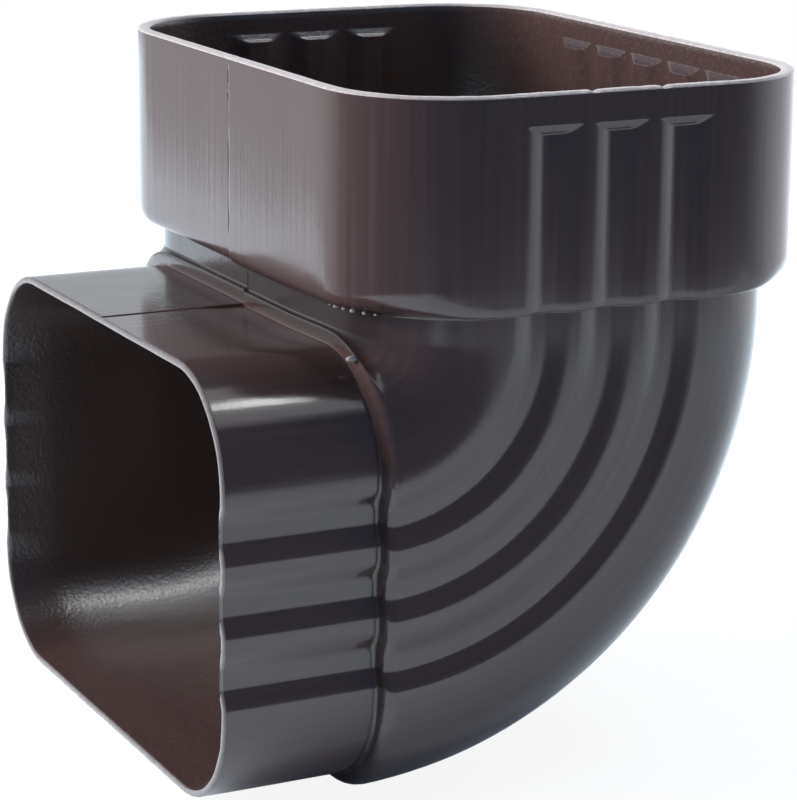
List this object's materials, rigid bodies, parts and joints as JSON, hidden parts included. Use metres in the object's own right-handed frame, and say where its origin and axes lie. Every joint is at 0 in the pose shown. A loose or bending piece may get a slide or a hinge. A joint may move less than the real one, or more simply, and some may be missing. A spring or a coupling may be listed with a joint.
{
  "type": "downspout elbow",
  "caption": "Moulded rectangular downspout elbow: fluted socket facing up, tight right-angle bend with a rounded back, and a smaller fluted spigot as the outlet.",
  "frame": {"origin": "centre of the socket's mouth, in the plane of its rim", "axes": "+Z out of the socket along its axis, -X out of the outlet spigot; the mould's parting plane is XZ"},
  "size_m": [0.0801, 0.088, 0.0872],
  "materials": {
    "brown_vinyl": "glossy dark brown moulded vinyl, paler where the rims were trimmed"
  },
  "bodies": {
    "root": {"downspout_elbow": "brown_vinyl"}
  },
  "joints": []
}
